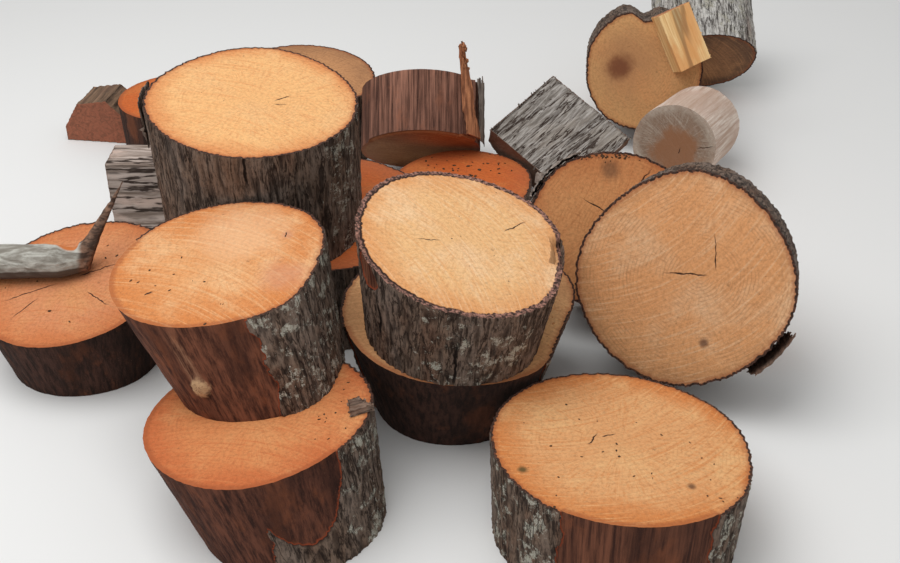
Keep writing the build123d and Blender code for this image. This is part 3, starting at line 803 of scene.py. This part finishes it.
# Chips, leaves and crumbs that lie on the sawn faces: place, spread, number, size, colours
LEAF = ((0.03, 0.016, 0.009), (0.12, 0.065, 0.035), (0.08, 0.04, 0.02))
CHIP = ((0.40, 0.15, 0.05), (0.72, 0.38, 0.16), (0.6, 0.25, 0.1))
BITS = {
    "orange_litter": ("orange_round", (0.02, 0.12), (0.09, 0.05), 34, 0.016, LEAF),
    "right_specks": ("right_round", (0.02, -0.06), (0.17, 0.14), 26, 0.009, LEAF),
    "left_chips": ("left_round", (-0.02, -0.02), (0.16, 0.16), 12, 0.012, LEAF),
    "lower_chips": ("back_lower_round", (0.36, 0.0), (0.03, 0.2), 40, 0.011, CHIP),
    "rim_crumbs": ("second_tilted_round", (-0.02, 0.255), (0.09, 0.012), 30, 0.010, LEAF),
    "front_crumbs": ("front_lower_round", (0.22, 0.02), (0.07, 0.09), 18, 0.009, LEAF),
    "front_specks": ("front_upper_round", (-0.13, -0.10), (0.12, 0.08), 12, 0.010, LEAF),
    "middle_chips": ("middle_lower_round", (0.29, -0.05), (0.025, 0.12), 22, 0.009, CHIP),
    "upper_specks": ("back_upper_round", (0.0, 0.0), (0.2, 0.2), 10, 0.005, LEAF),
    "pale_specks": ("middle_upper_round", (0.0, 0.0), (0.18, 0.18), 10, 0.005, LEAF),
}


def round_tube(name, log, cell):
    """An open tube over a round's side, with its angles and its places along the log."""
    around = 4 * round(math.pi * log.radius / 2 / (CELL_ROUND * cell))
    bands = max(12, round(log.length / (CELL_ALONG * cell)))
    bpy.ops.object.select_all(action="DESELECT")
    bpy.ops.mesh.primitive_cylinder_add(vertices=around, radius=1, depth=1,
                                        end_fill_type="NOTHING")
    piece = bpy.context.object
    piece.name = piece.data.name = name + "_wood"
    height = points_of(piece)[:, 2][read(piece.data.edges, "vertices", 2, int)]
    select_edges(piece, abs(height[:, 0] - height[:, 1]) > 0.5)
    bpy.ops.object.mode_set(mode="EDIT")
    bpy.ops.mesh.subdivide(number_cuts=bands - 1)
    bpy.ops.object.mode_set(mode="OBJECT")
    unit = points_of(piece)
    return piece, numpy.arctan2(unit[:, 1], unit[:, 0]), unit[:, 2] + 0.5


def relief_depth(piece, log, cover, angles, settings, textures):
    """How far each vertex of a round's side lies inside its solid."""
    fitted = points_of(piece)
    add_group(piece, "bark", cover)
    add_group(piece, "bare", 1 - cover)
    holder = grain_space(log.centres[0], log.axes, SIDE_STRETCH)
    press_in(piece, settings.bark_thickness, None, holder, "bare")
    press_in(piece, settings.furrow_depth, textures["furrows"], holder, "bark")
    press_in(piece, BARE_RELIEF, textures["fibres"], holder, "bare")
    bpy.data.objects.remove(holder)
    pressed = (fitted - points_of(piece)) @ log.axes.T
    radial = (pressed * outward(angles)).sum(1)
    return numpy.clip(radial, 0, DEEPEST)


def close_end(piece, log, end, rim):
    """Fills a saw cut with rings of faces drawn in from its rim."""
    on_rim = numpy.zeros(len(piece.data.vertices), dtype=bool)
    on_rim[rim] = True
    select_edges(piece, on_rim[read(piece.data.edges, "vertices", 2, int)].all(1))
    bpy.ops.object.mode_set(mode="EDIT")
    for factor in CUT_RINGS:
        bpy.ops.mesh.extrude_edges_move()
        bpy.ops.transform.resize(value=(factor, factor, factor),
                                 center_override=tuple(log.centres[end]))
    bpy.ops.mesh.merge(type="CENTER")
    bpy.ops.object.mode_set(mode="OBJECT")


def cut_distances(log, spots, angles, rims):
    """Which cut each vertex lies on (-1 for the side), and its distance from the rim."""
    inward = numpy.zeros(len(spots))
    on_cut = numpy.full(len(spots), -1)
    for end, rim in enumerate(rims):
        on_it = abs((spots - log.centres[end]) @ log.normals[end]) < 1e-4
        away = numpy.linalg.norm(spots - log.centres[end], axis=1)
        order = rim[numpy.argsort(angles[rim])]
        edge = numpy.interp(angles, angles[order], away[order], period=2 * math.pi)
        inward[on_it] = numpy.maximum(0, edge - away)[on_it]
        on_cut[on_it] = end
    return inward, on_cut


def mark_round(log, look, spots, place, angles, inward, on_cut, seed):
    """Swells the knots out of the side and breaks chips off the upper rim."""
    for turn, rise, knot_reach in look.get("knots", ()):
        aside = numpy.radians((numpy.degrees(angles) - turn + 180) % 360 - 180)
        away = numpy.hypot(aside * log.radius, place[:, 2] - rise)
        away += 0.006 * smooth_noise(spots, 90, seed)
        swell = numpy.clip((knot_reach - away) / (0.5 * knot_reach), 0, 1)
        swell = swell * (0.014 + 0.006 * smooth_noise(spots, 160, seed + 1))
        swell[on_cut >= 0] = 0
        spots = log.moved(spots, angles, swell)
    for turn, half, reach_in, drop in look.get("chips", ()):
        aside = abs((numpy.degrees(angles) - turn + 180) % 360 - 180)
        depth = numpy.clip((half - aside) / 2 + smooth_noise(spots, 60, seed), 0, 1)
        depth *= numpy.clip((reach_in - inward) / 0.004, 0, 1) * (on_cut == 1)
        spots = spots - drop * depth[:, None] * log.axes[2]
    return spots


def make_round(name, look, settings, textures, seed):
    """Dresses a sawn round with its bark, its bare wood and its two saw cuts."""
    log = Log(name)
    bark, peels = look.get("bark", ALL_ROUND), look.get("peels", ())
    piece, angles, along = round_tube(name, log, look.get("cell", 1.0))
    fitted = log.side(angles, along)
    set_points(piece, fitted)
    cover = bark_cover(log, fitted, bark, seed, peels=peels)
    radial = relief_depth(piece, log, cover, angles, settings, textures)
    spots = log.moved(fitted, angles, -radial)
    rims = [numpy.nonzero(abs(along - end) < 1e-5)[0] for end in (0, 1)]
    for end, rim in enumerate(rims):
        spots[rim] = log.onto_cut(spots[rim], end)
    set_points(piece, spots)
    for end, rim in enumerate(rims):
        close_end(piece, log, end, rim)

    spots = points_of(piece)
    place = log.local(spots)
    angles = numpy.arctan2(place[:, 1], place[:, 0])
    inward, on_cut = cut_distances(log, spots, angles, rims)
    on_top = (on_cut == 1).astype(float)
    all_cover = bark_cover(log, log.side(angles, on_top), bark, seed, peels=peels)
    all_cover[:len(cover)] = cover
    furrow = numpy.zeros(len(spots))
    furrow[:len(radial)] = radial / max(settings.furrow_depth, 1e-9)
    lichen = numpy.zeros(len(spots))
    if "lichen" in look:
        lichen = bark_cover(log, spots, look["lichen"], seed + 5, 0.05)
    set_looks(piece, place, numpy.stack([all_cover, lichen, inward], 1), furrow)
    set_points(piece, mark_round(log, look, spots, place, angles, inward, on_cut, seed))

    start = read(piece.data.polygons, "loop_start", kind=int)
    on_face = (on_cut >= 0)[read(piece.data.loops, "vertex_index", kind=int)]
    piece.data.polygons.foreach_set(
        "material_index", numpy.minimum.reduceat(on_face.astype(int), start))
    edit_all(piece, bpy.ops.mesh.normals_make_consistent, inside=False)
    finish_piece(piece, (trunk_side(name + "_side", settings, look),
                                     sawn_wood(name + "_cut", settings, look)),
                 [name], 50)


def make_split(name, look, textures):
    """Dresses a split or broken piece with relief along its grain."""
    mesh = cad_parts[name].data.copy()
    mesh.materials.clear()
    piece = bpy.data.objects.new(name + "_wood", mesh)
    bpy.context.scene.collection.objects.link(piece)
    edit_all(piece, bpy.ops.mesh.remove_doubles, threshold=0.00005)
    modify(piece, "REMESH", mode="VOXEL", voxel_size=look["voxel"])
    grain = Vector(look["grain_way"]).normalized()
    side = grain.cross((0, 0, 1)).normalized()
    axes = numpy.array([side, grain.cross(side), grain])
    before = points_of(piece)
    middle = (before.max(0) + before.min(0)) / 2
    normals = normals_of(piece)
    facing = normals @ numpy.array(Vector(look["top"]).normalized())
    ends = numpy.clip((abs(normals @ axes[2]) - 0.7) / 0.2, 0, 1)
    top = numpy.clip((facing - look.get("under_from", -0.5)) / 0.25, 0, 1)
    add_group(piece, "top", top * (1 - 0.7 * ends))
    holder = grain_space(middle, axes, SPLIT_STRETCH)
    press_in(piece, SPLIT_ROUGH + look["rough"], textures["fibres"], holder)
    press_in(piece, look["relief"], textures["furrows"], holder, "top")
    bpy.data.objects.remove(holder)
    spots = points_of(piece)
    place = (spots - middle) @ axes.T
    pressed = numpy.linalg.norm(spots - before, axis=1) - SPLIT_ROUGH - look["rough"] * 0.6
    set_looks(piece, place, numpy.stack([ends, facing, place[:, 2]], 1),
              pressed / look["relief"])
    finish_piece(piece, [split_wood(name + "_grain", look)], [name])


def make_sheet(name, look, textures):
    """A curved sheet of bark or torn wood that follows the side of a round."""
    log = Log(look["log"])
    start, end = look["angles"]
    low, high = look["along"]
    wide = max(6, round(math.radians(end - start) * log.radius / SHEET_CELL[0]))
    tall = max(8, round((high - low) * log.length / SHEET_CELL[1]))
    bpy.ops.object.select_all(action="DESELECT")
    bpy.ops.mesh.primitive_grid_add(x_subdivisions=wide, y_subdivisions=tall, size=1)
    piece = bpy.context.object
    piece.name = piece.data.name = name
    unit = points_of(piece) + (0.5, 0.5, 0)
    across, up = unit[:, 0], unit[:, 1]
    narrow = look["taper"] + (1 - look["taper"]) * up
    middle = (start + end) / 2 + look["slant"] * (1 - up)
    tear = smooth_noise(unit * (1, 0.2, 1), 9, len(name)) * look["ragged"]
    side_tear = smooth_noise(unit * (0.2, 1, 1), 11, len(name) + 3) * look["ragged"]
    angles = numpy.radians(middle + (across - 0.5 + side_tear * (abs(across - 0.5) * 2)) *
                           (end - start) * narrow)
    along = low + (high - low) * numpy.clip(up, 0, 1)
    along = numpy.where(up < 0.5, along + tear * (1 - 2 * up) * 2, along)
    spots = log.side((angles + math.pi) % (2 * math.pi) - math.pi, along)
    lift = look["lift"][0] + (look["lift"][1] - look["lift"][0]) * up
    set_points(piece, log.moved(spots, angles, lift))
    if (normals_of(piece) * (outward(angles) @ log.axes)).sum() < 0:
        edit_all(piece, bpy.ops.mesh.flip_normals)
    modify(piece, "SOLIDIFY", thickness=look["thick"], offset=-1)
    before = points_of(piece)
    holder = grain_space(log.centres[0], log.axes, SIDE_STRETCH)
    press_in(piece, look["relief"] * 0.4, textures["fibres"], holder)
    press_in(piece, look["relief"], textures["furrows"], holder)
    bpy.data.objects.remove(holder)
    spots = points_of(piece)
    set_looks(piece, log.local(spots), numpy.zeros((len(spots), 3)),
              numpy.linalg.norm(spots - before, axis=1) / (look["relief"] * 3.0))
    finish_piece(piece,
                 [split_wood(name + "_grain", dict(look, grain=70.0, stretch=0.12))],
                 [look["log"]] if name == "torn_strip" else ())


def make_bits(name, log_name, at, spread, count, size, colours, seed):
    """Small chips and leaves that lie on the upper sawn face of a round."""
    log = Log(log_name)
    luck = numpy.random.default_rng(seed)
    bpy.ops.object.select_all(action="DESELECT")
    bpy.ops.mesh.primitive_ico_sphere_add(subdivisions=1, radius=0.5)
    first = bpy.context.object
    modify(first, "DISPLACE", strength=0.25, texture=bpy.data.textures["lumps"])
    shape = points_of(first)
    normal = log.normals[1]
    pieces = []
    while len(pieces) < count:
        x, y = at + luck.normal(size=2) * spread
        turn, grow = luck.uniform(0, 2 * math.pi), luck.uniform(0.5, 1.3)
        angle = numpy.array([math.atan2(y, x)])
        spot = log.onto_cut((log.centres[1] + x * log.axes[0] + y * log.axes[1])[None], 1)[0]
        edge = numpy.linalg.norm(log.rim(1, angle)[0] - log.centres[1])
        if numpy.linalg.norm(spot - log.centres[1]) > edge - RIM_MARGIN:
            continue
        ahead = log.axes[0] * math.cos(turn) + log.axes[1] * math.sin(turn)
        ahead = ahead - normal * (ahead @ normal)
        ahead = ahead / numpy.linalg.norm(ahead)
        across = numpy.cross(normal, ahead)
        long, wide = grow * size, grow * size * luck.uniform(0.35, 0.8)
        thick = size * 0.16
        bit = bpy.data.objects.new("bit", first.data.copy())
        bpy.context.scene.collection.objects.link(bit)
        set_points(bit, spot + shape[:, :1] * long * ahead + shape[:, 1:2] * wide * across +
                   (shape[:, 2:] + 0.42) * thick * normal)
        pieces.append(bit)
    bpy.data.objects.remove(first)
    piece = pieces[0]
    only(piece)
    for bit in pieces:
        bit.select_set(True)
    bpy.ops.object.join()
    piece.name = piece.data.name = name
    spots = points_of(piece)
    set_looks(piece, spots * 2, numpy.zeros((len(spots), 3)), numpy.zeros(len(spots)))
    look = dict(colours=colours, stretch=1.0, grain=40.0)
    finish_piece(piece, [split_wood(name + "_look", look)])


class HEAP_OT_stage(Operator):
    """Add the floor, the soft lights and the camera"""
    bl_idname = "heap.stage"
    bl_label = "Add Stage"

    def execute(self, context):
        stage = context.scene.heap_stage
        bpy.ops.object.select_all(action="DESELECT")
        bpy.ops.mesh.primitive_plane_add(size=60)
        floor = context.object
        floor.name = "studio_floor"
        tree = Tree("studio_floor")
        soft = tree.add("ShaderNodeBsdfDiffuse", {"Color": (*stage.floor, 1)})
        tree.add("ShaderNodeOutputMaterial", {"Surface": soft})
        floor.data.materials.append(tree.material)
        world = bpy.data.worlds.new("soft_light")
        context.scene.world = world
        world.use_nodes = True
        background = world.node_tree.nodes["Background"]
        background.inputs["Color"].default_value = (1, 1, 1, 1)
        background.inputs["Strength"].default_value = stage.fill
        bpy.ops.object.light_add(type="AREA", location=(-1.5, -1.2, 5.2))
        lamp = context.object
        lamp.data.size = 4.5
        lamp.data.energy = stage.light
        lamp.rotation_euler = (Vector((0, 0, 0.3)) - lamp.location).to_track_quat(
            "-Z", "Y").to_euler()
        low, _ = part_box("back_upper_round")
        bpy.ops.object.camera_add(location=(low.x + VIEW_FROM[0], low.y + VIEW_FROM[1],
                                            VIEW_FROM[2]))
        camera = context.object
        camera.rotation_euler = (math.radians(90 - VIEW_DOWN), 0, 0)
        camera.data.lens = VIEW_LENS
        camera.data.sensor_width = 36
        context.scene.camera = camera
        context.scene.view_settings.view_transform = "Standard"
        return {"FINISHED"}


class HEAP_OT_rounds(Operator):
    """Dress every sawn round with bark, bare wood and saw cuts"""
    bl_idname = "heap.rounds"
    bl_label = "Dress Rounds"

    def execute(self, context):
        settings = context.scene.heap
        textures = relief_textures(settings)
        for seed, (name, look) in enumerate(ROUNDS.items()):
            make_round(name, look, settings, textures, 10 * seed + 3)
        return {"FINISHED"}


class HEAP_OT_splits(Operator):
    """Dress the bark slab, the loose bark, the limb and the split wood"""
    bl_idname = "heap.splits"
    bl_label = "Dress Split Pieces"

    def execute(self, context):
        textures = relief_textures(context.scene.heap)
        for name, look in SPLITS.items():
            make_split(name, look, textures)
        return {"FINISHED"}


class HEAP_OT_sheets(Operator):
    """Add the torn strip and the lifted sheets of bark"""
    bl_idname = "heap.sheets"
    bl_label = "Add Lifted Bark"

    def execute(self, context):
        textures = relief_textures(context.scene.heap)
        for name, look in SHEETS.items():
            make_sheet(name, look, textures)
        return {"FINISHED"}


class HEAP_OT_bits(Operator):
    """Scatter chips, leaves and crumbs on the sawn faces"""
    bl_idname = "heap.bits"
    bl_label = "Scatter Chips"

    def execute(self, context):
        for seed, (name, (log, *rest)) in enumerate(BITS.items()):
            make_bits(name, log, *rest, seed + 40)
        return {"FINISHED"}


class HEAP_PT_panel(Panel):
    """Sidebar panel with the heap's steps"""
    bl_label = "Log Heap"
    bl_idname = "HEAP_PT_panel"
    bl_space_type = "VIEW_3D"
    bl_region_type = "UI"
    bl_category = "Log Heap"

    def draw(self, context):
        for settings in (context.scene.heap, context.scene.heap_stage):
            for name in settings.__annotations__:
                self.layout.prop(settings, name)
        for step in (HEAP_OT_stage, HEAP_OT_rounds, HEAP_OT_splits, HEAP_OT_sheets,
                     HEAP_OT_bits):
            self.layout.operator(step.bl_idname)


CLASSES = (HeapSettings, StageSettings, HEAP_OT_stage, HEAP_OT_rounds, HEAP_OT_splits,
           HEAP_OT_sheets, HEAP_OT_bits, HEAP_PT_panel)


def register():
    for cls in CLASSES:
        bpy.utils.register_class(cls)
    bpy.types.Scene.heap = PointerProperty(type=HeapSettings)
    bpy.types.Scene.heap_stage = PointerProperty(type=StageSettings)


def unregister():
    del bpy.types.Scene.heap_stage
    del bpy.types.Scene.heap
    for cls in reversed(CLASSES):
        bpy.utils.unregister_class(cls)


def main():
    register()
    bpy.ops.heap.stage()
    bpy.ops.heap.rounds()
    bpy.ops.heap.splits()
    bpy.ops.heap.sheets()
    bpy.ops.heap.bits()


if __name__ == "__main__":
    main()
